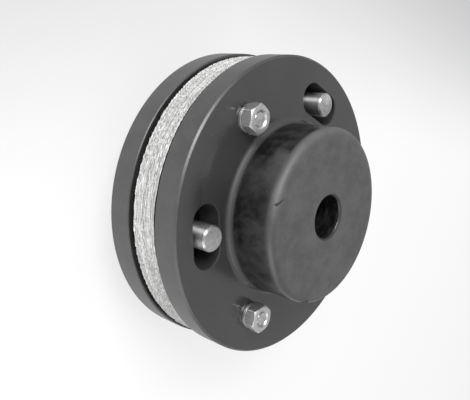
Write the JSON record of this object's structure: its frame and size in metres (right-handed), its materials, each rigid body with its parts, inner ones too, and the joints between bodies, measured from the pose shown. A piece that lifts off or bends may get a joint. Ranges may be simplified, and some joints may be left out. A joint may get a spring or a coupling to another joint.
{
  "type": "disc coupling",
  "caption": "Flexible shaft coupling: flanged iron hubs joined through a laminated woven disc by steel drive pins that stand in clearance slots.",
  "frame": {"origin": "on the shaft axis, in the end face of the rear boss, on which the coupling stands", "axes": "+Z along the shaft axis from the rear boss to the front boss; +X towards the first drive pin of the front hub"},
  "size_m": [0.2, 0.2, 0.1275],
  "materials": {
    "hub_iron": "satin",
    "pin_steel": "satin",
    "nut_steel": "gloss",
    "washer_steel": "gloss",
    "disc_fabric": "matte"
  },
  "bodies": {
    "rear_half": {"rear_drive_pin_1": "pin_steel", "rear_drive_pin_2": "pin_steel", "rear_drive_pin_3": "pin_steel", "rear_hub": "hub_iron", "rear_lock_washer_1": "washer_steel", "rear_lock_washer_2": "washer_steel", "rear_lock_washer_3": "washer_steel", "rear_pin_nut_1": "nut_steel", "rear_pin_nut_2": "nut_steel", "rear_pin_nut_3": "nut_steel"},
    "disc": {"flexible_disc": "disc_fabric"},
    "front_half": {"front_drive_pin_1": "pin_steel", "front_drive_pin_2": "pin_steel", "front_drive_pin_3": "pin_steel", "front_hub": "hub_iron", "front_lock_washer_1": "washer_steel", "front_lock_washer_2": "washer_steel", "front_lock_washer_3": "washer_steel", "front_pin_nut_1": "nut_steel", "front_pin_nut_2": "nut_steel", "front_pin_nut_3": "nut_steel"}
  },
  "joints": [
    {"name": "disc_slide", "type": "slide", "parent": "rear_half", "child": "disc", "axis": [0, 0, 1], "range_m": [-0.0027, 0.0027]},
    {"name": "front_half_slide", "type": "slide", "parent": "disc", "child": "front_half", "axis": [0, 0, 1], "range_m": [-0.0027, 0.0027]}
  ]
}
